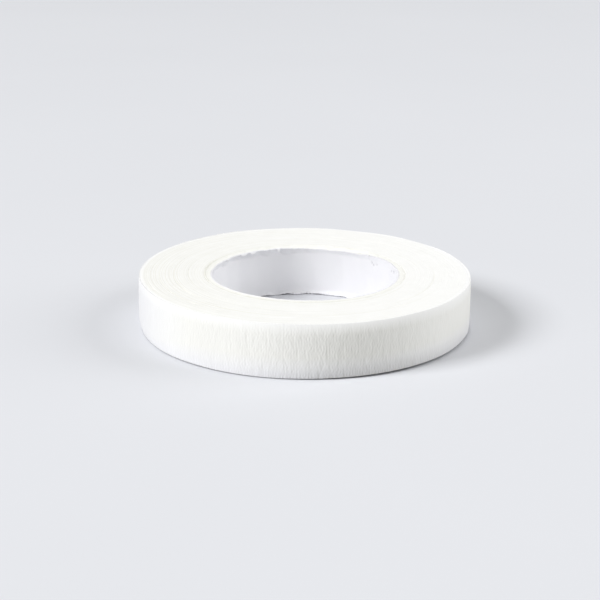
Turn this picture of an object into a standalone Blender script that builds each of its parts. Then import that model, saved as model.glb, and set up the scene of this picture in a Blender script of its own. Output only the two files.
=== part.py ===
"""Roll of florist tape, lying on its side.

A strip of waxed crepe paper is wound on a slice of a three-ply paper tube. The inner laps
press together into one solid pack, whose faces show the laps' edges as a spiral line. The
last laps are drawn one by one, and the free end of the strip peels off the roll.

Metres, +Z up. The origin is on the axis of the core, at the roll's lower face.
"""
import math

import bmesh
import bpy
from mathutils import Vector

# Tape: the width of the strip and the radius of the roll at its free end
TAPE_WIDTH = 0.012
ROLL_RADIUS = 0.0378

# Core: a slice of a spiral-wound paper tube, from the bore outwards
BORE_RADIUS = 0.02125
LINER_WALL = 0.0003
BOARD_WALL = 0.0005
WRAP_WALL = 0.00025
GLUE_LINE = 0.0001
CORE_RECESS = 0.0002
LIP_HEIGHT = 0.0013
LIP_LEAN = 0.00035

# Outer laps: the strip as it is drawn, and the clear space kept between two laps
STRIP_THICKNESS = 0.0003
LAP_GAP = 0.00042
OUTER_TURNS = 2
SEAT_GAP = 0.0003
EDGE_STEP = 0.00015

# Lap line: the spiral that the pressed laps leave on both faces of the pack
LINE_TURNS = 8
LINE_START = math.radians(1.7)
LINE_WIDTH = 0.00042
LINE_DEPTH = 0.0003
LINE_MARGIN = 0.0008

# Free end: where it stops, how much of the last lap it takes, and its hinged lengths
END_ANGLE = math.radians(125)
TAIL_SWEEP = math.radians(80)
TAIL_PIECES = 8
HINGE_GAP = 0.0003

# Facets of a full turn, and the limits of welding and smooth shading
RING_STEPS = 72
LINE_STEPS = 36
TAIL_STEPS = 144
LIP_STEPS = 4
WELD = 1e-6
SHARP_ANGLE = math.radians(35)

FULL_TURN = 2 * math.pi
LAP_PITCH = STRIP_THICKNESS + LAP_GAP
TAIL_TURNS = TAIL_SWEEP / FULL_TURN
STRIP_TURNS = OUTER_TURNS + TAIL_TURNS
STRIP_END_RADIUS = ROLL_RADIUS - STRIP_THICKNESS / 2
PACK_RADIUS = STRIP_END_RADIUS - LAP_PITCH * STRIP_TURNS - STRIP_THICKNESS / 2 - SEAT_GAP


def new_collection(name):
    group = bpy.data.collections.new(name)
    bpy.context.scene.collection.children.link(group)
    return group


def paper(name, colour, roughness):
    """A matte paper of one colour."""
    material = bpy.data.materials.new(name)
    material.use_nodes = True
    shader = material.node_tree.nodes["Principled BSDF"]
    shader.inputs["Base Color"].default_value = (*colour, 1.0)
    shader.inputs["Roughness"].default_value = roughness
    shader.inputs["Metallic"].default_value = 0.0
    return material


def settle(source, name, group, material=None):
    """Turn a curve or a modified object into a plain mesh object, with its sharp edges kept."""
    bpy.context.scene.collection.objects.link(source)
    graph = bpy.context.evaluated_depsgraph_get()
    mesh = bpy.data.meshes.new_from_object(source.evaluated_get(graph))
    bpy.data.objects.remove(source)
    mesh.name = name
    shape = bmesh.new()
    shape.from_mesh(mesh)
    bmesh.ops.remove_doubles(shape, verts=shape.verts, dist=WELD)
    bmesh.ops.recalc_face_normals(shape, faces=shape.faces)
    shape.to_mesh(mesh)
    shape.free()
    mesh.shade_smooth()
    mesh.set_sharp_from_angle(angle=SHARP_ANGLE)
    mesh.materials.clear()
    if material:
        mesh.materials.append(material)
    piece = bpy.data.objects.new(name, mesh)
    group.objects.link(piece)
    return piece


def turned(name, profile, group, material):
    """A ring turned about Z from a closed profile of (radius, height) points."""
    mesh = bpy.data.meshes.new(name)
    corners = [(radius, 0.0, height) for radius, height in profile]
    edges = [(i, (i + 1) % len(corners)) for i in range(len(corners))]
    mesh.from_pydata(corners, edges, [])
    ring = bpy.data.objects.new(name, mesh)
    screw = ring.modifiers.new("turn", "SCREW")
    screw.axis = "Z"
    screw.angle = FULL_TURN
    screw.steps = RING_STEPS
    screw.render_steps = RING_STEPS
    screw.use_merge_vertices = True
    screw.merge_threshold = WELD
    return settle(ring, name, group, material)


def ribbon(name, points, width, thickness, height, group, material=None):
    """An upright strip along points, of one width and thickness, its middle at a height."""
    curve = bpy.data.curves.new(name, "CURVE")
    curve.dimensions = "2D"
    curve.fill_mode = "NONE"
    curve.extrude = width / 2
    spline = curve.splines.new("POLY")
    spline.points.add(len(points) - 1)
    for knot, point in zip(spline.points, points):
        knot.co = (point.x, point.y, 0.0, 1.0)
    strip = bpy.data.objects.new(name, curve)
    wall = strip.modifiers.new("thickness", "SOLIDIFY")
    wall.thickness = thickness
    wall.offset = 0.0
    wall.use_even_offset = True
    piece = settle(strip, name, group, material)
    piece.location.z = height
    return piece


def tube_profile(inner, wall):
    """A plain ply of the core: outer side down, inner side up."""
    top = TAPE_WIDTH - CORE_RECESS
    outer = inner + wall
    return [(outer, top), (outer, CORE_RECESS), (inner, CORE_RECESS), (inner, top)]


def liner_profile():
    """The core's inner ply, whose cut ends lean into the bore as the saw left them."""
    top = TAPE_WIDTH - CORE_RECESS
    outer = BORE_RADIUS + LINER_WALL
    lower_lip = []
    upper_lip = []
    for step in range(LIP_STEPS + 1):
        share = 1 - step / LIP_STEPS
        radius = BORE_RADIUS - LIP_LEAN * share * share
        rise = LIP_HEIGHT * (1 - share)
        lower_lip.append((radius, CORE_RECESS + rise))
        upper_lip.append((radius, top - rise))
    return [(outer, top), (outer, CORE_RECESS), *lower_lip, *reversed(upper_lip)]


def build_core(group):
    """Liner, board and wrap, glued one round the other; returns the radius over the wrap."""
    liner = paper("liner_paper", (0.84, 0.84, 0.88), 0.7)
    board = paper("core_board_paper", (0.78, 0.76, 0.70), 0.85)
    turned("core_liner", liner_profile(), group, liner)
    board_radius = BORE_RADIUS + LINER_WALL + GLUE_LINE
    turned("core_board", tube_profile(board_radius, BOARD_WALL), group, board)
    wrap_radius = board_radius + BOARD_WALL + GLUE_LINE
    turned("core_wrap", tube_profile(wrap_radius, WRAP_WALL), group, board)
    return wrap_radius + WRAP_WALL


def lap_line(inner, outer):
    """Points of the spiral that the pressed laps leave on a face of the pack."""
    count = LINE_TURNS * LINE_STEPS
    points = []
    for step in range(count + 1):
        radius = inner + (outer - inner) * step / count
        angle = LINE_START + FULL_TURN * step / LINE_STEPS
        points.append(Vector((radius * math.cos(angle), radius * math.sin(angle))))
    return points


def strip_point(turn, offset=0.0):
    """A point on the strip's middle, or off it outwards, a number of turns from its start."""
    radius = STRIP_END_RADIUS - LAP_PITCH * (STRIP_TURNS - turn) + offset
    angle = END_ANGLE - FULL_TURN * (STRIP_TURNS - turn)
    return Vector((radius * math.cos(angle), radius * math.sin(angle)))


def strip_points(first, last, steps_per_turn):
    steps = math.ceil((last - first) * steps_per_turn)
    return [strip_point(first + (last - first) * i / steps) for i in range(steps + 1)]


def least_gap(points, steps_per_turn, thickness):
    """The least clear space between two laps of a wound strip, from point to point."""
    apart = steps_per_turn // 2
    nearest = min(
        (a - b).length for i, a in enumerate(points) for b in points[i + apart:]
    )
    return nearest - thickness


def build_pack(core_radius, group, cutters, material):
    """The pressed laps, one solid ring with the lap line scored into both faces."""
    inner = core_radius + GLUE_LINE
    profile = [(PACK_RADIUS, TAPE_WIDTH), (PACK_RADIUS, 0.0), (inner, 0.0), (inner, TAPE_WIDTH)]
    pack = turned("tape_pack", profile, group, material)
    points = lap_line(inner + LINE_MARGIN, PACK_RADIUS - LINE_MARGIN)
    for side, height in (("lower", 0.0), ("upper", TAPE_WIDTH)):
        line = ribbon(f"{side}_lap_line", points, 2 * LINE_DEPTH, LINE_WIDTH, height, cutters)
        line.hide_render = True
        line.display_type = "WIRE"
        score = pack.modifiers.new(f"{side} lap line", "BOOLEAN")
        score.operation = "DIFFERENCE"
        score.solver = "EXACT"
        score.object = line
    gap = least_gap(points, LINE_STEPS, LINE_WIDTH)
    print(f"least width between two turns of the lap line: {gap * 1000:.2f} mm")


def build_strip(group, material):
    """The last laps as one wound strip, and its free end as a chain of hinged lengths."""
    width = TAPE_WIDTH - 2 * EDGE_STEP
    middle = TAPE_WIDTH / 2
    half_gap = HINGE_GAP / 2 / (FULL_TURN * STRIP_END_RADIUS)
    laps = strip_points(0.0, OUTER_TURNS - half_gap, RING_STEPS)
    ribbon("tape_outer_laps", laps, width, STRIP_THICKNESS, middle, group, material)

    carrier = None
    carrier_pivot = Vector((0.0, 0.0))
    for number in range(TAIL_PIECES):
        first = OUTER_TURNS + TAIL_TURNS * number / TAIL_PIECES
        last = OUTER_TURNS + TAIL_TURNS * (number + 1) / TAIL_PIECES
        pivot = strip_point(first, STRIP_THICKNESS / 2)
        route = strip_points(first + half_gap, last - half_gap, TAIL_STEPS)
        name = f"tape_tail_{number + 1}"
        local = [point - pivot for point in route]
        piece = ribbon(name, local, width, STRIP_THICKNESS, middle, group, material)
        step = pivot - carrier_pivot
        piece.location = (step.x, step.y, 0.0 if carrier else middle)
        piece.parent = carrier
        carrier = piece
        carrier_pivot = pivot

    steps = range(math.floor(STRIP_TURNS * RING_STEPS) + 1)
    whole = [strip_point(step / RING_STEPS) for step in steps]
    gap = least_gap(whole, RING_STEPS, STRIP_THICKNESS)
    print(f"least gap between two laps of the strip: {gap * 1000:.2f} mm")


def build_roll():
    for old in list(bpy.data.objects):
        bpy.data.objects.remove(old)
    roll = new_collection("florist_tape_roll")
    cutters = new_collection("cutters")
    tape = paper("crepe_tape", (0.92, 0.92, 0.88), 0.75)
    core_radius = build_core(roll)
    build_pack(core_radius, roll, cutters, tape)
    build_strip(roll, tape)


build_roll()
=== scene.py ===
import math

import bpy
import numpy as np
from mathutils import Matrix


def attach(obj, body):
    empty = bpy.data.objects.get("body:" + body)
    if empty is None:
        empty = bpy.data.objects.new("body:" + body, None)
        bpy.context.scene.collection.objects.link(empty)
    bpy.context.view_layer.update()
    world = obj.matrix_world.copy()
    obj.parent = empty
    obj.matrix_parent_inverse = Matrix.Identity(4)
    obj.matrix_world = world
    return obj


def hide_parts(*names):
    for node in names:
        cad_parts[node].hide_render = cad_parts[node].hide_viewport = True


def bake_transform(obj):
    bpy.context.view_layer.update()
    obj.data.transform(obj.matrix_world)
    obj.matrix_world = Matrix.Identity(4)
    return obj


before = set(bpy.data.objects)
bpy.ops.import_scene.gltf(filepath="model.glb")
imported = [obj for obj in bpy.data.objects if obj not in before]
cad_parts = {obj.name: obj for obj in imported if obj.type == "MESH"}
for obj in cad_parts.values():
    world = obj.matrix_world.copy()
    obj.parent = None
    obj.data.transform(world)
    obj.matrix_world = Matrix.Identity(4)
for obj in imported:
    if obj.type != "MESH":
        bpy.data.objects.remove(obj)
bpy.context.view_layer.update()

# Core liner
# The inner ply of the paper tube, smooth white paper that faces the bore. The blade that sliced
# the tube pushed its cut edges into the bore, where they lean inwards and are frayed.
FULL_TURN = 2 * math.pi
LINER_RADIUS = 0.02125
LINER_WALL = 0.0003
LINER_LOW = 0.0002
LINER_HIGH = 0.01195
LINER_STEPS = 1440
LINER_PLAIN_ROWS = 5
LINER_OFF_FLOOR = 0.00003
ROWS_BELOW_TOP = (
    0.0, 0.00003, 0.0001, 0.00025, 0.00045, 0.0007, 0.00095, 0.0012, 0.00135, 0.00145, 0.00155,
    0.0017, 0.002, 0.0022, 0.0024, 0.0027, 0.0036,
)
ROWS_ABOVE_FLOOR = (0.0, 0.00003, 0.0001, 0.00025, 0.00045, 0.0007, 0.0009, 0.0011, 0.0015, 0.0022)
CORE_SMOOTH = math.radians(50)

# Lips: a hump round the roll is its size, then its middle and its reach in degrees
UPPER_LIP = 0.00155
UPPER_LEAN = 0.00005
BENT_LEAN = 0.0008
BENT_PLACE = ((1.5, 136, 62),)
NEAR_LEAN = ((0.00035, 252, 78),)
LOWER_LIP = 0.0011
LOWER_LEAN = 0.00015
LOWER_BENT = ((0.0005, 84, 50),)
UPPER_DROP = ((0.00062, 72, 48), (0.00019, 125, 80), (-0.0001, 252, 78))
DROP_REACH = 0.0024
LOWER_LIFT = ((0.0001, 96, 50),)
LIFT_WAVE = 0.00006
LIFT_LEAST = -0.0001
LIFT_REACH = 0.0015

# Frayed edges, a crease below the lip, and notches cut into it
FRAY_TOP = 0.0005
FRAY_LOW = 0.0006
FRAY_IN = 0.00002
FRAY_UP = 0.00005
RAGGED_LEAST = 0.25
RAGGED_MORE = ((0.75, 100, 80),)
BUCKLE_DEPTH = 0.00003
CREASE = ((0.00028, 60, 36),)
CREASE_REACH = 0.0013
NOTCHES = ((0.0004, 44.2, 1.0), (0.0003, 52, 5), (0.00015, 117, 2.0), (0.0002, 97, 1.2))
NOTCH_REACH = 0.0014

# Tears in the wall: middle and reach in degrees, distance below the top and height
TEAR_DEPTH = 0.0002
TEARS = (
    (41.9, 1.1, 0.0018, 0.0006), (40.5, 1.3, 0.0023, 0.0005), (37.2, 1.6, 0.0019, 0.0003),
    (19.2, 1.6, 0.0017, 0.0004), (15.4, 2.2, 0.0015, 0.0006),
)

# Shreds of paper on the lip: middle in degrees, width, reach into the bore and fall
SHREDS = (
    (152, 0.0009, 0.0002, 0.0003), (134.5, 0.0021, 0.0005, 0.00035), (127, 0.0018, 0.00055, 0.00035),
    (107.6, 0.0007, 0.0006, 0.0008), (90, 0.0006, 0.0003, 0.0004),
    (71, 0.0014, 0.0002, 0.0003), (58, 0.0012, 0.0002, 0.0003),
)
SHRED_WALL = 0.00006
SHRED_ROOT = 0.0001
SHRED_RISE = 0.00003

# Paper: two shades, a grey laid on as painted shadow in the tears and on the shreds, and where painted
# shade and light make the wall greyer or paler round the bore
LINER_LIGHT = (0.962, 0.961, 0.975)
LINER_DARK = (0.932, 0.929, 0.949)
PAINTED_SHADE_GREY = (0.54, 0.53, 0.56)
PAINTED_SHADE_LEVEL = 0.14
PAINTED_SHADE_MORE = ((0.09, 36, 46), (0.07, 25, 70))
BORE_PAINTED_LIGHT = ((1.0, 108, 30), (0.55, 150, 45))


def points_of(piece):
    """The points of a mesh as rows of x, y and z."""
    points = np.empty(len(piece.data.vertices) * 3)
    piece.data.vertices.foreach_get("co", points)
    return points.reshape(-1, 3)


def set_points(piece, points):
    """Put the points of a mesh in new places."""
    piece.data.vertices.foreach_set("co", points.ravel())
    piece.data.update()


def shape_round(piece, radius, angle, height):
    """Put the points of a mesh at their radius, angle round the roll and height."""
    set_points(piece, np.column_stack((radius * np.cos(angle), radius * np.sin(angle), height)))


def paint(piece, name, values):
    """Keep a value from 0 to 1 at each point of a mesh, for its finish to read."""
    mask = piece.data.attributes.new(name, "FLOAT", "POINT")
    mask.data.foreach_set("value", np.clip(values, 0.0, 1.0).astype(np.float32))


def ripple(seed, count, waves_round, waves_up):
    """A smooth random field of about unit size over the angle round the roll and the height."""
    rng = np.random.default_rng(seed)
    round_rate = rng.uniform(waves_round[0], waves_round[1], count).round()
    up_rate = rng.normal(0.0, waves_up, count) * FULL_TURN
    start = rng.uniform(0.0, FULL_TURN, count)

    def field(angle, height):
        total = np.zeros_like(angle)
        for turns, rise, phase in zip(round_rate, up_rate, start):
            total += np.cos(turns * angle + rise * height + phase)
        return total * math.sqrt(2 / count)

    return field


def swell(angle, middle, reach):
    """One soft hump round the roll: 1 at its middle, 0 beyond its reach, both in degrees."""
    off = np.abs((angle - math.radians(middle) + math.pi) % FULL_TURN - math.pi)
    share = np.minimum(off / math.radians(reach), 1.0)
    return np.cos(share * math.pi / 2) ** 2


def humps(angle, table):
    """The sum of some humps round the roll."""
    return sum(size * swell(angle, middle, reach) for size, middle, reach in table)


def near(distance, reach):
    """1 at an edge, falling to 0 at a reach from it."""
    return np.clip(1 - distance / reach, 0.0, 1.0)


def apply_all(piece):
    """Apply the modifiers of a piece in their order."""
    bpy.ops.object.select_all(action="DESELECT")
    piece.select_set(True)
    bpy.context.view_layer.objects.active = piece
    for modifier in list(piece.modifiers):
        bpy.ops.object.modifier_apply(modifier=modifier.name)


bpy.ops.object.select_all(action="DESELECT")
bpy.ops.mesh.primitive_circle_add(
    vertices=LINER_STEPS, radius=LINER_RADIUS, fill_type="NOTHING", location=(0, 0, LINER_LOW)
)
liner = bpy.context.object
liner.name = "core_liner_sleeve"
bpy.ops.object.transform_apply(location=True, rotation=True, scale=True)
bpy.ops.object.mode_set(mode="EDIT")
bpy.ops.mesh.select_all(action="SELECT")
levels = [LINER_LOW + rise for rise in ROWS_ABOVE_FLOOR]
levels += list(np.linspace(levels[-1], LINER_HIGH - ROWS_BELOW_TOP[-1], LINER_PLAIN_ROWS + 2)[1:-1])
levels += [LINER_HIGH - drop for drop in reversed(ROWS_BELOW_TOP)]
for step in np.diff(levels):
    bpy.ops.mesh.extrude_edges_move(TRANSFORM_OT_translate={"value": (0, 0, float(step))})
bpy.ops.mesh.select_all(action="SELECT")
bpy.ops.mesh.normals_make_consistent(inside=False)
bpy.ops.object.mode_set(mode="OBJECT")

lip_waves = ripple(3, 30, (3, 40), 0.0)
frayed = ripple(4, 60, (60, 330), 0.0)
buckle = ripple(5, 40, (2, 22), 60.0)


def rim_lean(angle, height):
    """How far the cut ends of the core lean into the bore, most at the back left, less in front."""
    waves = lip_waves(angle, 0 * angle)
    bent = np.minimum(humps(angle, BENT_PLACE), 1.0)
    lip = UPPER_LIP * (1 + 0.1 * waves)
    upper = UPPER_LEAN + BENT_LEAN * bent + humps(angle, NEAR_LEAN)
    upper = upper * (1 + 0.06 * waves) * near(LINER_HIGH - height, lip)
    lower = LOWER_LEAN + humps(angle, LOWER_BENT)
    lower = lower * (1 + 0.3 * lip_waves(angle + 1.0, 0 * angle))
    return upper + lower * near(height - LINER_LOW, LOWER_LIP) ** 2


def rim_drop(angle, height):
    """How far the cut ends of the core stand below the upper face."""
    drop = humps(angle, UPPER_DROP) * (1 + 0.08 * lip_waves(angle + 2.0, 0 * angle))
    return drop * near(LINER_HIGH - height, DROP_REACH)


def rim_lift(angle, height):
    """How far the cut ends of the core stand above the floor."""
    lift = humps(angle, LOWER_LIFT) + LIFT_WAVE * lip_waves(angle, 0 * angle)
    return np.maximum(lift, LIFT_LEAST) * near(height - LINER_LOW, LIFT_REACH)


points = points_of(liner)
angle = np.arctan2(points[:, 1], points[:, 0])
height = points[:, 2]
at_top = near(LINER_HIGH - height, FRAY_TOP)
at_low = near(height - LINER_LOW, FRAY_LOW)
ragged = RAGGED_LEAST + humps(angle, RAGGED_MORE)
torn = np.zeros_like(angle)
for around, width, below, tall in TEARS:
    off_tear = np.abs(LINER_HIGH - below - height)
    torn = np.maximum(torn, swell(angle, around, width) * near(off_tear, tall))
lean = rim_lean(angle, height) + BUCKLE_DEPTH * buckle(angle, height)
lean += humps(angle, CREASE) * near(LINER_HIGH - height, CREASE_REACH) ** 1.3
lean += FRAY_IN * ragged * frayed(angle, height) * (at_top + at_low)
lean -= TEAR_DEPTH * torn
rise = rim_lift(angle, height) - rim_drop(angle, height)
rise -= humps(angle, NOTCHES) * near(LINER_HIGH - height, NOTCH_REACH)
rise += FRAY_UP * ragged * frayed(angle, height) * at_top
rise += FRAY_UP * ragged * frayed(angle + 0.5, height) * at_low
shape_round(liner, LINER_RADIUS - lean, angle, height + rise)
# Painted shadow in the tears, and painted shade over the rest of the wall, lifted at the back and back
# left and deeper on the right
bore_shade = PAINTED_SHADE_LEVEL * (1 - humps(angle, BORE_PAINTED_LIGHT)) + humps(angle, PAINTED_SHADE_MORE)
paint(liner, "grey", np.maximum(torn, bore_shade))
wall = liner.modifiers.new("ply", "SOLIDIFY")
wall.thickness = LINER_WALL
wall.offset = 1.0
apply_all(liner)
points = points_of(liner)
points[:, 2] = np.maximum(points[:, 2], LINER_OFF_FLOOR)
set_points(liner, points)

for around, width, inward, fall in SHREDS:
    bpy.ops.object.select_all(action="DESELECT")
    bpy.ops.mesh.primitive_grid_add(x_subdivisions=3, y_subdivisions=6, size=1)
    shred = bpy.context.object
    points = points_of(shred)
    along = points[:, 1] + 0.5
    across = points[:, 0] * (1 - 0.5 * along ** 2) + 0.2 * along ** 2
    turned = math.radians(around) + across * width / LINER_RADIUS
    root = turned * 0 + LINER_HIGH
    radius = LINER_RADIUS - rim_lean(turned, root) + SHRED_ROOT - inward * along ** 0.7
    height = root - rim_drop(turned, root) + SHRED_RISE - fall * along ** 2
    shape_round(shred, radius, turned, height)
    # Painted shade on the shreds, deeper towards their tips
    paint(shred, "grey", 0.1 + 0.25 * along)
    wall = shred.modifiers.new("ply", "SOLIDIFY")
    wall.thickness = SHRED_WALL
    apply_all(shred)
    liner.select_set(True)
    bpy.context.view_layer.objects.active = liner
    bpy.ops.object.join()
bpy.ops.object.shade_smooth_by_angle(angle=CORE_SMOOTH)


def fibre_group():
    """Paper fibre: a cloudy mask and the surface that the fibres leave, at a chosen scale."""
    group = bpy.data.node_groups.new("paper fibre", "ShaderNodeTree")
    face = group.interface
    stretch = face.new_socket("Stretch", in_out="INPUT", socket_type="NodeSocketVector")
    stretch.default_value = (1.0, 1.0, 1.0)
    size = face.new_socket("Cloud Scale", in_out="INPUT", socket_type="NodeSocketFloat")
    size.default_value = 150.0
    depth = face.new_socket("Depth", in_out="INPUT", socket_type="NodeSocketFloat")
    depth.default_value = 0.00002
    face.new_socket("Cloud", in_out="OUTPUT", socket_type="NodeSocketFloat")
    face.new_socket("Normal", in_out="OUTPUT", socket_type="NodeSocketVector")
    nodes = group.nodes
    links = group.links
    inside = nodes.new("NodeGroupInput")
    outside = nodes.new("NodeGroupOutput")
    place = nodes.new("ShaderNodeTexCoord")
    pull = nodes.new("ShaderNodeVectorMath")
    pull.operation = "MULTIPLY"
    links.new(place.outputs["Object"], pull.inputs[0])
    links.new(inside.outputs["Stretch"], pull.inputs[1])
    cloud = nodes.new("ShaderNodeTexNoise")
    cloud.inputs["Detail"].default_value = 3.0
    links.new(pull.outputs["Vector"], cloud.inputs["Vector"])
    links.new(inside.outputs["Cloud Scale"], cloud.inputs["Scale"])
    fine = nodes.new("ShaderNodeMath")
    fine.operation = "MULTIPLY"
    fine.inputs[1].default_value = 14.0
    links.new(inside.outputs["Cloud Scale"], fine.inputs[0])
    fibre = nodes.new("ShaderNodeTexNoise")
    fibre.inputs["Detail"].default_value = 4.0
    fibre.inputs["Roughness"].default_value = 0.6
    links.new(pull.outputs["Vector"], fibre.inputs["Vector"])
    links.new(fine.outputs["Value"], fibre.inputs["Scale"])
    dent = nodes.new("ShaderNodeBump")
    dent.inputs["Strength"].default_value = 1.0
    links.new(fibre.outputs["Fac"], dent.inputs["Height"])
    links.new(inside.outputs["Depth"], dent.inputs["Distance"])
    links.new(cloud.outputs["Fac"], outside.inputs["Cloud"])
    links.new(dent.outputs["Normal"], outside.inputs["Normal"])
    return group


def paper_finish(name, light, dark, roughness, stretch, scale, depth):
    """A matte paper that drifts between two shades, with its fibre in the surface."""
    finish = bpy.data.materials.new(name)
    finish.use_nodes = True
    nodes = finish.node_tree.nodes
    links = finish.node_tree.links
    shader = nodes["Principled BSDF"]
    shader.inputs["Roughness"].default_value = roughness
    shader.inputs["Specular IOR Level"].default_value = 0.3
    fibre = nodes.new("ShaderNodeGroup")
    fibre.node_tree = paper_fibre
    fibre.inputs["Stretch"].default_value = stretch
    fibre.inputs["Cloud Scale"].default_value = scale
    fibre.inputs["Depth"].default_value = depth
    shade = nodes.new("ShaderNodeValToRGB")
    shade.name = "shade"
    shade.color_ramp.elements[0].position = 0.3
    shade.color_ramp.elements[0].color = (*dark, 1.0)
    shade.color_ramp.elements[1].position = 0.7
    shade.color_ramp.elements[1].color = (*light, 1.0)
    links.new(fibre.outputs["Cloud"], shade.inputs["Fac"])
    links.new(shade.outputs["Color"], shader.inputs["Base Color"])
    links.new(fibre.outputs["Normal"], shader.inputs["Normal"])
    return finish


def paper_shade(finish):
    """The drifting shade of a paper, before anything is laid over it."""
    return finish.node_tree.nodes["shade"].outputs["Color"]


def painted(finish, name):
    """The value that a mesh keeps at its points under a name."""
    mask = finish.node_tree.nodes.new("ShaderNodeAttribute")
    mask.attribute_name = name
    return mask.outputs["Fac"]


def feed(finish, value, socket):
    """Link an output to a socket, or set the socket to a plain value or colour."""
    if isinstance(value, bpy.types.NodeSocket):
        finish.node_tree.links.new(value, socket)
    elif isinstance(value, tuple):
        socket.default_value = (*value, 1.0)
    else:
        socket.default_value = value


def laid_over(finish, base, colour, factor, blend="MIX"):
    """A base colour with another colour laid over it where a factor says."""
    mix = finish.node_tree.nodes.new("ShaderNodeMix")
    mix.data_type = "RGBA"
    mix.blend_type = blend
    feed(finish, factor, mix.inputs["Factor"])
    feed(finish, base, mix.inputs["A"])
    feed(finish, colour, mix.inputs["B"])
    return mix.outputs["Result"]


def wear_colour(finish, colour):
    """Give the surface of a finish its colour."""
    feed(finish, colour, finish.node_tree.nodes["Principled BSDF"].inputs["Base Color"])


paper_fibre = fibre_group()
liner_paper = paper_finish(
    "liner paper", LINER_LIGHT, LINER_DARK,
    roughness=0.55, stretch=(1.0, 1.0, 0.35), scale=220.0, depth=0.00002,
)
# The grey laid over the liner paper is painted shadow and painted shade
painted_shade_mask = painted(liner_paper, "grey")
wear_colour(liner_paper, laid_over(liner_paper, paper_shade(liner_paper), PAINTED_SHADE_GREY, painted_shade_mask))
liner.data.materials.append(liner_paper)
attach(liner, "roll")
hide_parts("core_liner")

# Core board and core wrap
# The grey-white plies round the liner, wound and glued as one tube and cut with it. Only their
# cut edges show, as a rough ring that ends in a line of glue under the first lap of tape.
BOARD_INNER = 0.02153
BOARD_OUTER = 0.0221
WRAP_OUTER = 0.02247
CORE_PLIES = (
    ("core_board_ring", "core_board", BOARD_INNER, BOARD_OUTER, 0.5, 11),
    ("core_wrap_ring", "core_wrap", BOARD_OUTER, WRAP_OUTER, 0.0, 12),
)
CORE_MIDDLE = (LINER_LOW + LINER_HIGH) / 2
BOARD_STEPS = 540
BOARD_CUTS = 5
BOARD_ROWS = 16
ON_SIDE = 0.00001
LAP = 0.0002077
SEAM = math.radians(40)
CUT_ROUGH = 0.00001
CUT_FRAY = 0.000012
CUT_LEAST = -0.00003
CUT_REACH = 0.0004
BOARD_LIGHT = (0.97, 0.967, 0.935)
BOARD_DARK = (0.94, 0.935, 0.89)

# Glue: its tint, the line under the first lap, and a fainter one between board and wrap
GLUE_TINT = (0.81, 0.807, 0.735)
GLUE_RADIUS = 0.0224
GLUE_REACH = 0.0002
GLUE_WIDER = ((0.0002, 262, 70),)
GLUE_LEVEL = 0.4
GLUE_MORE = ((0.45, 185, 75), (0.45, 262, 70), (-0.1, 0, 60), (-0.25, 95, 60))
GLUE_RUN = 0.15
PLY_LINE = 0.2
PLY_LINE_REACH = 0.00011


def paper_section(name, inner, outer, low, high):
    """An upright rectangle that a ring is turned from: its four sides, with no face."""
    bpy.ops.object.select_all(action="DESELECT")
    bpy.ops.mesh.primitive_plane_add(
        size=1, location=((inner + outer) / 2, 0, (low + high) / 2), rotation=(math.pi / 2, 0, 0)
    )
    section = bpy.context.object
    section.name = name
    section.scale = (outer - inner, high - low, 1)
    bpy.ops.object.transform_apply(location=True, rotation=True, scale=True)
    bpy.ops.object.mode_set(mode="EDIT")
    bpy.ops.mesh.select_mode(type="VERT")
    bpy.ops.mesh.select_all(action="SELECT")
    bpy.ops.mesh.delete(type="ONLY_FACE")
    bpy.ops.object.mode_set(mode="OBJECT")
    return section


def cut_side(section, test, cuts):
    """Divide the side of a section whose points pass a test."""
    bpy.ops.object.mode_set(mode="EDIT")
    bpy.ops.mesh.select_all(action="DESELECT")
    bpy.ops.object.mode_set(mode="OBJECT")
    for point in section.data.vertices:
        point.select = test(point.co)
    bpy.ops.object.mode_set(mode="EDIT")
    bpy.ops.mesh.subdivide(number_cuts=cuts)
    bpy.ops.object.mode_set(mode="OBJECT")


def turn_section(section, steps):
    """Turn a section through one radian, which shaping then spreads over the length it needs."""
    screw = section.modifiers.new("turn", "SCREW")
    screw.axis = "Z"
    screw.angle = 1.0
    screw.steps = steps
    screw.render_steps = steps
    screw.use_merge_vertices = False
    apply_all(section)


def close_seams(piece):
    """Merge what meets, close what is left open, and point every face outwards."""
    bpy.ops.object.mode_set(mode="EDIT")
    bpy.ops.mesh.select_all(action="SELECT")
    bpy.ops.mesh.remove_doubles(threshold=0.0000005)
    bpy.ops.mesh.select_all(action="DESELECT")
    bpy.ops.mesh.select_non_manifold(
        extend=False, use_wire=False, use_boundary=True, use_multi_face=False,
        use_non_contiguous=False, use_verts=False,
    )
    bpy.ops.mesh.fill_holes(sides=0)
    bpy.ops.mesh.select_all(action="SELECT")
    bpy.ops.mesh.normals_make_consistent(inside=False)
    bpy.ops.object.mode_set(mode="OBJECT")


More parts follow.
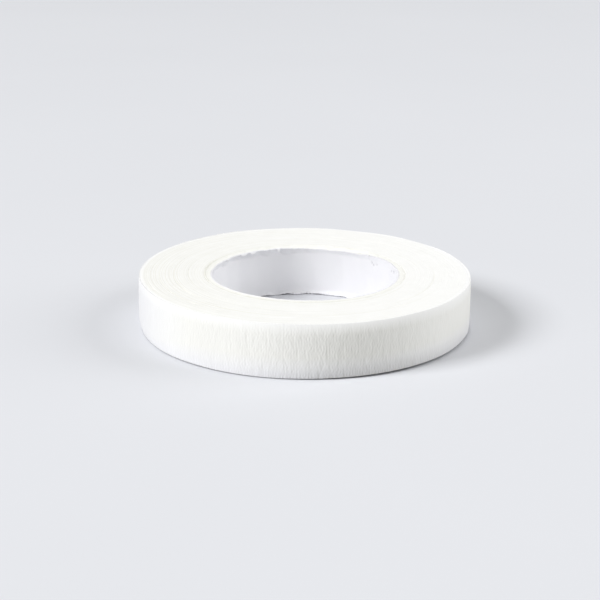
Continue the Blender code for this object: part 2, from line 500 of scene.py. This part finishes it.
core_paper = paper_finish(
    "core board paper", BOARD_LIGHT, BOARD_DARK,
    roughness=0.8, stretch=(1.0, 1.0, 1.0), scale=500.0, depth=0.00003,
)
gluing = painted(core_paper, "glue")
wear_colour(core_paper, laid_over(core_paper, paper_shade(core_paper), GLUE_TINT, gluing))
glue_runs = ripple(13, 40, (3, 60), 0.0)
for name, node, inner, outer, follow, seed in CORE_PLIES:
    ring = paper_section(name, inner, outer, LINER_LOW, LINER_HIGH)
    cut_side(ring, lambda point: point.z > CORE_MIDDLE, BOARD_CUTS)
    cut_side(ring, lambda point: point.z < CORE_MIDDLE, BOARD_CUTS)
    cut_side(ring, lambda point: point.x < inner + ON_SIDE, BOARD_ROWS)
    cut_side(ring, lambda point: point.x > outer - ON_SIDE, BOARD_ROWS)
    turn_section(ring, BOARD_STEPS)
    points = points_of(ring)
    turn = np.arctan2(points[:, 1], points[:, 0])
    angle = SEAM + FULL_TURN * turn
    radius = np.hypot(points[:, 0], points[:, 1])
    height = points[:, 2]
    across = (radius - inner) / (outer - inner)
    glued = GLUE_LEVEL + humps(angle, GLUE_MORE) + GLUE_RUN * glue_runs(angle, radius)
    glued = glued * near(np.abs(radius - GLUE_RADIUS), GLUE_REACH + humps(angle, GLUE_WIDER))
    glued += PLY_LINE * near(np.abs(radius - BOARD_OUTER), PLY_LINE_REACH)
    fray = ripple(seed, 60, (30, 300), 0.0)
    mottle = ripple(seed + 1, 40, (8, 120), 900.0)
    rough = CUT_ROUGH + CUT_FRAY * fray(angle, radius) + CUT_FRAY * mottle(angle, radius)
    cut_end = near(LINER_HIGH - height, CUT_REACH) - near(height - LINER_LOW, CUT_REACH)
    rough = np.maximum(rough, CUT_LEAST) * cut_end
    follows = follow + (1 - across) * 0.5
    radius = radius - rim_lean(angle, height) * follows
    if node == "core_wrap":
        radius = radius + LAP * turn * across
    rise = (rim_lift(angle, height) - rim_drop(angle, height)) * follows - rough
    shape_round(ring, radius, angle, height + rise)
    paint(ring, "glue", glued)
    close_seams(ring)
    bpy.ops.object.shade_smooth_by_angle(angle=CORE_SMOOTH)
    ring.data.materials.append(core_paper)
    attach(ring, "roll")
    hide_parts(node)

# Wound laps of tape
# One long strip of waxed crepe paper wound tight on the core. Its edges show as a fine spiral on
# both faces, where a few laps were wound slack and stand open as thin lines.
TAPE_WIDTH = 0.012
PACK_LAPS = 71
PACK_INNER = 0.022475
PACK_OUTER = PACK_INNER + PACK_LAPS * LAP
PACK_STEPS = 320
TAPE_SMOOTH = math.radians(60)

# Faces: lap edges and their drift, rounded corners, and a dent on the right
FACE_SINK = 0.00002
EDGE_DEPTH = 0.000028
EDGE_DRIFT = 0.00001
EDGE_JOG = 0.000008
FACE_SWAY = 0.00002
OUTER_ROUND = 0.00003
OUTER_ROUND_REACH = 0.0008
INNER_ROUND = 0.000015
INNER_ROUND_REACH = 0.0006
DENT_X = 0.0330
DENT_Y = -0.002
DENT_REACH = 0.0006
DENT_DEPTH = 0.0003

# Slack laps: radius, middle and reach in degrees, and depth
OPEN_LAPS = (
    (0.0226, 195, 110, 0.00008), (0.02315, 200, 90, 0.00007), (0.0227, 0, 110, 0.00006),
    (0.0237, 320, 60, 0.00005), (0.0251, 120, 50, 0.00004), (0.0264, 190, 80, 0.00005),
    (0.0264, 60, 60, 0.00004), (0.0279, 250, 45, 0.00005), (0.0286, 312, 52, 0.00014),
    (0.0296, 175, 60, 0.000025), (0.0293, 340, 36, 0.00004), (0.0298, 207, 32, 0.00008),
    (0.0300, 70, 50, 0.00004), (0.0313, 300, 50, 0.00005), (0.0330, 214, 30, 0.00007),
    (0.0326, 0, 45, 0.00004), (0.0316, 240, 26, 0.00007), (0.0323, 178, 40, 0.00002),
    (0.0341, 240, 40, 0.00004), (0.0349, 150, 60, 0.00004), (0.0358, 215, 50, 0.00005),
    (0.0362, 300, 40, 0.00004), (0.0226, 262, 70, 0.00014),
)
OPEN_REACH = LAP * 0.55
OPEN_DEEPEST = 0.00014

# Edges of the last laps: pressed in above, drawn in below, and lifted off the floor
SHOULDER = 0.00012
SHOULDER_MORE = ((0.00042, 288, 90),)
TUCK = 0.00012
TUCK_MORE = ((0.0004, 186, 55), (0.00018, 305, 60))
LEAN_REACH = 0.002
UNDERCUT = ((0.0022, 322, 78), (0.0006, 226, 52))
UNDERCUT_REACH = 0.01

# Paper edges: two shades, darker and lighter bands of laps that show most on the left as painted shade
# on that side, painted shadow in the open gaps, and a painted highlight on the outer rim
EDGE_LIGHT = (0.985, 0.983, 0.968)
EDGE_DARK = (0.962, 0.959, 0.939)
BAND_DARK = (0.885, 0.878, 0.825)
BAND_LIGHT = (0.985, 0.985, 0.978)
BAND_SCALE = 4200.0
BAND_START = 0.32
BAND_STOP = 0.56
BAND_SIDE = 0.036
OPEN_LAP_SHADOW = (0.80, 0.79, 0.67)
RIM_HIGHLIGHT = (0.985, 0.985, 0.985)
RIM_START = 0.0362
RIM_FULL = 0.0371

pack = paper_section("tape_wound_laps", PACK_INNER, PACK_OUTER, 0.0, TAPE_WIDTH)
cut_side(pack, lambda point: point.z > TAPE_WIDTH / 2, 2 * PACK_LAPS - 1)
cut_side(pack, lambda point: point.z < TAPE_WIDTH / 2, 2 * PACK_LAPS - 1)
turn_section(pack, PACK_STEPS)
points = points_of(pack)
turn = np.arctan2(points[:, 1], points[:, 0])
radius = np.hypot(points[:, 0], points[:, 1])
half_lap = np.rint((radius - PACK_INNER) / (LAP / 2))
valley = half_lap % 2
angle = SEAM + FULL_TURN * turn
radius = radius + LAP * turn
wound = half_lap / 2 + turn
upper = points[:, 2] > TAPE_WIDTH / 2


def open_edges(radius, angle):
    """How deep the slack laps stand open at each point of a face."""
    depth = np.zeros_like(radius)
    for middle, around, reach, most in OPEN_LAPS:
        place = np.abs(radius - middle) < OPEN_REACH
        depth = np.maximum(depth, np.where(place, most * swell(angle, around, reach) ** 0.6, 0.0))
    return depth


def shoulder(angle):
    """How far the upper edge of the last laps is pressed in, most at the front."""
    return SHOULDER + humps(angle, SHOULDER_MORE)


def tuck(angle):
    """How far the lower edge of the last laps is drawn in, most on the left and at the front."""
    return TUCK + humps(angle, TUCK_MORE)


lap_drift = ripple(21, 60, (1, 10), 0.35)
lap_jog = ripple(22, 40, (4, 40), 0.9)
broad = ripple(23, 24, (1, 5), 120.0)
slack = open_edges(radius, angle)
from_outside = PACK_OUTER + LAP * turn - radius
from_dent = np.hypot(radius * np.cos(angle) - DENT_X, radius * np.sin(angle) - DENT_Y)
sink = FACE_SINK + valley * (EDGE_DEPTH * (1 + 0.4 * lap_jog(angle, wound)) + slack)
sink += EDGE_DRIFT * lap_drift(angle, wound) + EDGE_JOG * lap_jog(angle + 1.0, wound)
sink += FACE_SWAY * broad(angle, radius)
sink += OUTER_ROUND * near(from_outside, OUTER_ROUND_REACH) ** 2
sink += INNER_ROUND * near(radius - PACK_INNER, INNER_ROUND_REACH) ** 2
sink += DENT_DEPTH * near(from_dent, DENT_REACH)
sink = np.maximum(sink, 0.0)
lean = np.where(upper, shoulder(angle), tuck(angle)) * near(from_outside, LEAN_REACH) ** 2
undercut = humps(angle, UNDERCUT) * near(from_outside, UNDERCUT_REACH)
height = np.where(upper, TAPE_WIDTH - sink, sink + undercut)
shape_round(pack, radius - lean, angle, height)
paint(pack, "lap_gap", valley * slack / OPEN_DEEPEST)
close_seams(pack)
bpy.ops.object.shade_smooth_by_angle(angle=TAPE_SMOOTH)


def tape_finish(name, light, dark, roughness, stretch, scale, depth):
    """White waxed crepe paper."""
    finish = paper_finish(name, light, dark, roughness, stretch, scale, depth)
    shader = finish.node_tree.nodes["Principled BSDF"]
    shader.inputs["Sheen Weight"].default_value = 0.05
    shader.inputs["Sheen Roughness"].default_value = 0.5
    return finish


def ranged(finish, value, start, stop, at_start, at_stop, smooth=False):
    """A value turned into another that runs from start to stop and is level beyond."""
    span = finish.node_tree.nodes.new("ShaderNodeMapRange")
    if smooth:
        span.interpolation_type = "SMOOTHSTEP"
    feed(finish, value, span.inputs["Value"])
    span.inputs["From Min"].default_value = start
    span.inputs["From Max"].default_value = stop
    span.inputs["To Min"].default_value = at_start
    span.inputs["To Max"].default_value = at_stop
    return span.outputs["Result"]


edge_paper = tape_finish(
    "tape edge paper", EDGE_LIGHT, EDGE_DARK,
    roughness=0.7, stretch=(1.0, 1.0, 1.0), scale=260.0, depth=0.000015,
)
nodes = edge_paper.node_tree.nodes
links = edge_paper.node_tree.links
place = nodes.new("ShaderNodeTexCoord")
parts = nodes.new("ShaderNodeSeparateXYZ")
links.new(place.outputs["Object"], parts.inputs["Vector"])
flat = nodes.new("ShaderNodeVectorMath")
flat.operation = "MULTIPLY"
flat.inputs[1].default_value = (1.0, 1.0, 0.0)
links.new(place.outputs["Object"], flat.inputs[0])
reach = nodes.new("ShaderNodeVectorMath")
reach.operation = "LENGTH"
links.new(flat.outputs["Vector"], reach.inputs[0])
laps = nodes.new("ShaderNodeTexNoise")
laps.noise_dimensions = "1D"
laps.inputs["Scale"].default_value = BAND_SCALE
laps.inputs["Detail"].default_value = 3.0
links.new(reach.outputs["Value"], laps.inputs["W"])
bands = nodes.new("ShaderNodeValToRGB")
bands.color_ramp.elements[0].position = BAND_START
bands.color_ramp.elements[0].color = (*BAND_DARK, 1.0)
bands.color_ramp.elements[1].position = BAND_STOP
bands.color_ramp.elements[1].color = (*BAND_LIGHT, 1.0)
links.new(laps.outputs["Fac"], bands.inputs["Fac"])
# The lap bands are the laps' own tone; they show most on the left and fade out on the right, as
# painted shade on the left side
bands_and_left_shade = ranged(edge_paper, parts.outputs["X"], -BAND_SIDE, BAND_SIDE, 1.0, 0.0)
banded = laid_over(edge_paper, paper_shade(edge_paper), bands.outputs["Color"], bands_and_left_shade, "MULTIPLY")
# Painted shadow in the open gaps of the slack laps
gapped = laid_over(edge_paper, banded, OPEN_LAP_SHADOW, painted(edge_paper, "lap_gap"))
# Painted highlight along the outer rim of the face
rim_highlight_share = ranged(edge_paper, reach.outputs["Value"], RIM_START, RIM_FULL, 0.0, 1.0)
wear_colour(edge_paper, laid_over(edge_paper, gapped, RIM_HIGHLIGHT, rim_highlight_share))
pack.data.materials.append(edge_paper)
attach(pack, "roll")
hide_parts("tape_pack")

# Outer lap of tape
# The last full lap of the strip, whose crepe wrinkles run across the tape from edge to edge. Its
# own tack holds it down, and its upper edge is pressed in softly over the laps beneath.
TAPE_WALL = 0.00022
STRIP_END = math.radians(485)
STRIP_END_RADIUS = 0.03768
LAP_START = SEAM
LAP_STOP = SEAM + FULL_TURN
OUTER_STEPS = 2000
OUTER_ROWS = 42
INNER_ROWS = 4
EDGE_CROWDING = 0.35

# Section that each length is turned from, before its points go to their places
SECTION_INNER = 0.0362
SECTION_OUTER = 0.0375
SECTION_MIDDLE = 0.037

# Wrinkles, the pull of the strip, and a ledge low on the right
CREPE_DEPTH = 0.0000098
CREPE_LEVEL = 0.7
CREPE_MORE = ((0.48, 278, 38), (-0.55, 340, 46), (-0.4, 205, 55))
PULL_DEPTH = 0.00002
LEDGE = ((0.00005, 318, 26),)
LEDGE_TOP = 0.0024
LEDGE_STEP = 0.0003

# Edges: their waves, how high they lie, and where the lower one flares out
EDGE_WAVE = 0.00003
EDGE_DROP = 0.00003
EDGE_LIFT = 0.00014
EDGE_LIFT_MORE = ((0.0005, 322, 70), (0.00011, 228, 46))
SHOULDER_REACH = 0.0033
TUCK_REACH = 0.003
FLARE = ((0.0005, 306, 40),)
FLARE_REACH = 0.0022

# Tone: 1 is the paper's own colour; the wrinkle valleys are greyer, partly its own folds and partly
# painted shade in the creases, and painted shade and light round the wall, greyest at the front right
# and along its foot, stand in for how the light falls
TONE_LEVEL = 0.82
WRINKLE_TONE_AND_SHADE = 0.067
WALL_PAINTED_LIGHT_AND_SHADE = ((0.08, 258, 32), (-0.133, 190, 34), (-0.073, 206, 100))
FRONT_PAINTED_SHADE = ((0.27, 290, 38),)
FOOT_PAINTED_SHADE = ((0.43, 300, 75),)
FOOT_REACH = 0.003

# Paper: two shades, the grey of the folds and of the painted shade, a painted cool light on the left
# and painted floor bounce low on the wall, and a painted highlight along the upper edge
CREPE_LIGHT = (0.97, 0.965, 0.925)
CREPE_DARK = (0.95, 0.945, 0.905)
FOLD_AND_SHADE_GREY = (0.55, 0.547, 0.522)
PAINTED_COOL_LIGHT = (0.98, 0.985, 1.05)
COOL_SIDE = (-0.036, -0.024)
COOL_FOOT = (0.001, 0.005)
UPPER_EDGE_HIGHLIGHT = (0.965, 0.963, 0.945)
HIGHLIGHT_REACH = 0.0023
HIGHLIGHT_SIDE = (-0.036, -0.010)
HIGHLIGHT_LEAST = 0.3

crepe_long = ripple(36, 120, (220, 480), 35.0)
crepe_fold = ripple(31, 160, (240, 490), 260.0)
crepe_short = ripple(35, 200, (240, 490), 700.0)
crepe_broad = ripple(33, 90, (60, 210), 200.0)
pulled = ripple(34, 24, (2, 14), 50.0)


def strip_radius(angle):
    """The strip's outer radius at an angle counted along it."""
    return STRIP_END_RADIUS - LAP * (STRIP_END - angle) / FULL_TURN


def crepe(angle, height):
    """The wrinkles of the crepe: upright, wavy and broken, stronger in some places than others."""
    fine = 0.36 * crepe_fold(angle, height) + 0.88 * crepe_short(angle, height)
    fine += 0.28 * crepe_long(angle, height)
    return (CREPE_LEVEL + humps(angle, CREPE_MORE)) * (fine + 0.5 * crepe_broad(angle, height))


def tape_length(name, first, last, steps, inner_rows):
    """A length of the strip from one angle to another, laid on the roll with its wrinkles."""
    strip = paper_section(name, SECTION_INNER, SECTION_OUTER, 0.0, 1.0)
    cut_side(strip, lambda point: point.x > SECTION_MIDDLE, OUTER_ROWS - 1)
    cut_side(strip, lambda point: point.x < SECTION_MIDDLE, inner_rows - 1)
    turn_section(strip, steps)
    points = points_of(strip)
    along = np.arctan2(points[:, 1], points[:, 0])
    outside = np.hypot(points[:, 0], points[:, 1]) > SECTION_MIDDLE
    share = points[:, 2]
    share = (1 - EDGE_CROWDING) * share + EDGE_CROWDING * (1 - np.cos(math.pi * share)) / 2
    angle = first + (last - first) * along
    edge = EDGE_WAVE * crepe_fold(angle, share * 0) + EDGE_WAVE * pulled(angle, share * 0)
    high = TAPE_WIDTH - EDGE_DROP - edge
    low = EDGE_LIFT + np.abs(0.6 * edge) + humps(angle, EDGE_LIFT_MORE)
    height = low + (high - low) * share
    lean = shoulder(angle) * near(TAPE_WIDTH - height, SHOULDER_REACH) ** 2
    lean += tuck(angle) * near(height - low, TUCK_REACH) ** 2
    lean -= humps(angle, FLARE) * near(height - low, FLARE_REACH) ** 2
    wrinkles = crepe(angle, height)
    swollen = CREPE_DEPTH * wrinkles + PULL_DEPTH * pulled(angle, height)
    swollen += humps(angle, LEDGE) * np.clip((LEDGE_TOP - height) / LEDGE_STEP, 0.0, 1.0)
    radius = strip_radius(angle) - lean + swollen - np.where(outside, 0.0, TAPE_WALL)
    shape_round(strip, radius, angle, height)
    # Painted shade in the wrinkle valleys, and painted shade and light round the wall, darkest at the
    # front right and along the foot
    tone_and_shade = TONE_LEVEL + WRINKLE_TONE_AND_SHADE * wrinkles + humps(angle, WALL_PAINTED_LIGHT_AND_SHADE)
    tone_and_shade -= humps(angle, FRONT_PAINTED_SHADE) * (1 - 0.3 * share)
    tone_and_shade -= humps(angle, FOOT_PAINTED_SHADE) * near(height - low, FOOT_REACH) ** 1.4
    paint(strip, "fold_and_painted_shade", tone_and_shade)
    close_seams(strip)
    bpy.ops.object.shade_smooth_by_angle(angle=TAPE_SMOOTH)
    return strip


def combined(finish, operation, first, second):
    """Two values made into one by an operation."""
    maths = finish.node_tree.nodes.new("ShaderNodeMath")
    maths.operation = operation
    feed(finish, first, maths.inputs[0])
    feed(finish, second, maths.inputs[1])
    return maths.outputs["Value"]


crepe_paper = tape_finish(
    "crepe tape", CREPE_LIGHT, CREPE_DARK,
    roughness=0.62, stretch=(1.0, 1.0, 0.4), scale=300.0, depth=0.000012,
)
nodes = crepe_paper.node_tree.nodes
links = crepe_paper.node_tree.links
place = nodes.new("ShaderNodeTexCoord")
parts = nodes.new("ShaderNodeSeparateXYZ")
links.new(place.outputs["Object"], parts.inputs["Vector"])
# The grey of the folds and of the painted shade, laid over the crepe paper
painted_shade_ramp = nodes.new("ShaderNodeValToRGB")
painted_shade_ramp.color_ramp.elements[0].color = (*FOLD_AND_SHADE_GREY, 1.0)
painted_shade_ramp.color_ramp.elements[1].color = (1.0, 1.0, 1.0, 1.0)
links.new(painted(crepe_paper, "fold_and_painted_shade"), painted_shade_ramp.inputs["Fac"])
shaded = laid_over(crepe_paper, paper_shade(crepe_paper), painted_shade_ramp.outputs["Color"], 1.0, "MULTIPLY")
# Painted cool light on the left and painted floor bounce low on the wall
cool_side = ranged(crepe_paper, parts.outputs["X"], *COOL_SIDE, 1.0, 0.0)
cool_foot = ranged(crepe_paper, parts.outputs["Z"], *COOL_FOOT, 1.0, 0.0)
cool_light_share = combined(crepe_paper, "MAXIMUM", cool_side, cool_foot)
cooled = laid_over(crepe_paper, shaded, PAINTED_COOL_LIGHT, cool_light_share, "MULTIPLY")
# Painted highlight along the upper edge of the wall, weaker on the left
upper_edge = ranged(crepe_paper, parts.outputs["Z"], TAPE_WIDTH - HIGHLIGHT_REACH, TAPE_WIDTH, 0.0, 1.0)
round_front = ranged(crepe_paper, parts.outputs["X"], *HIGHLIGHT_SIDE, HIGHLIGHT_LEAST, 1.0, smooth=True)
upper_highlight = combined(crepe_paper, "MULTIPLY", upper_edge, round_front)
wear_colour(crepe_paper, laid_over(crepe_paper, cooled, UPPER_EDGE_HIGHLIGHT, upper_highlight))
outer_lap = tape_length("tape_outer_lap", LAP_START, LAP_STOP, OUTER_STEPS, INNER_ROWS)
outer_lap.data.materials.append(crepe_paper)
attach(outer_lap, "roll")
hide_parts("tape_outer_laps")

# Free end of the tape
# The last part of the strip, cut straight across and stuck down on the back of the roll. It is made as
# one length round each hinge, the last one running to the cut end.
HINGES = 8
FIRST_HINGE = math.radians(405)
HINGE_STEP = math.radians(10)
COLUMNS_PER_RADIAN = OUTER_STEPS / FULL_TURN

for number in range(HINGES):
    hinge = FIRST_HINGE + HINGE_STEP * number
    first = hinge - HINGE_STEP / 2
    last = hinge + HINGE_STEP / 2
    if number == HINGES - 1:
        last = STRIP_END
    steps = round((last - first) * COLUMNS_PER_RADIAN)
    length = tape_length(f"tape_free_end_{number + 1}", first, last, steps, OUTER_ROWS)
    length.data.materials.append(crepe_paper)
    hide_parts(f"tape_tail_{number + 1}")
    for turned in (first, hinge + HINGE_STEP / 2):
        reach = strip_radius(turned)
    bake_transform(length)

# Floor
# A pale matte table top, wide enough to fill the view behind the roll.
FLOOR_SIZE = 8
FLOOR_LIGHT = (0.772, 0.782, 0.815)
FLOOR_DARK = (0.757, 0.767, 0.80)

bpy.ops.object.select_all(action="DESELECT")
bpy.ops.mesh.primitive_plane_add(size=FLOOR_SIZE, location=(0, 0, 0))
floor = bpy.context.object
floor.name = "table_top"
table_white = paper_finish(
    "table white", FLOOR_LIGHT, FLOOR_DARK,
    roughness=0.85, stretch=(1.0, 1.0, 1.0), scale=6.0, depth=0.0,
)
floor.data.materials.append(table_white)

# Light
# One soft box to the left and a little in front, a weak one to the right and behind, and even
# light from the room.
ROOM_COLOUR = (1.0, 1.0, 0.985)
ROOM_LEVEL = 0.42
LAMP_COLOUR = (0.985, 0.99, 1.0)

world = bpy.data.worlds.new("room")
bpy.context.scene.world = world
world.use_nodes = True
world.node_tree.nodes["Background"].inputs["Color"].default_value = (*ROOM_COLOUR, 1.0)
world.node_tree.nodes["Background"].inputs["Strength"].default_value = ROOM_LEVEL


def soft_box(name, bearing, elevation, distance, width, level):
    """A square lamp that faces the roll, at a bearing counted left from the camera."""
    lamp = bpy.data.lights.new(name, "AREA")
    lamp.shape = "SQUARE"
    lamp.size = width
    lamp.color = LAMP_COLOUR
    lamp.energy = level * math.pi ** 2 * distance ** 2
    turned = math.radians(bearing)
    raised = math.radians(elevation)
    box = bpy.data.objects.new(name, lamp)
    box.location = (
        -distance * math.cos(raised) * math.sin(turned),
        -distance * math.cos(raised) * math.cos(turned),
        distance * math.sin(raised),
    )
    box.rotation_euler = (math.pi / 2 - raised, 0.0, -turned)
    bpy.context.scene.collection.objects.link(box)


soft_box("soft_box_left", bearing=67.5, elevation=36, distance=4.0, width=1.5, level=0.769)
soft_box("soft_box_right", bearing=-95, elevation=30, distance=2.0, width=1.3, level=0.45)

# Camera
# Low in front of the roll, with a long lens.
LOOK_DOWN = math.radians(17.85)
VIEW_DISTANCE = 0.3707
VIEW_ROLL = math.radians(0.6)

camera_data = bpy.data.cameras.new("camera")
camera_data.lens = 97.6
camera_data.sensor_width = 36.0
camera_data.shift_x = -0.0073
camera_data.shift_y = -0.0048
camera_data.clip_start = 0.01
camera_data.clip_end = 20.0
camera = bpy.data.objects.new("camera", camera_data)
camera.location = (
    0.0, -VIEW_DISTANCE * math.cos(LOOK_DOWN), TAPE_WIDTH / 2 + VIEW_DISTANCE * math.sin(LOOK_DOWN)
)
aim = Matrix.Rotation(math.pi / 2 - LOOK_DOWN, 3, "X") @ Matrix.Rotation(VIEW_ROLL, 3, "Z")
camera.rotation_euler = aim.to_euler()
bpy.context.scene.collection.objects.link(camera)
bpy.context.scene.camera = camera
bpy.context.scene.view_settings.view_transform = "Standard"
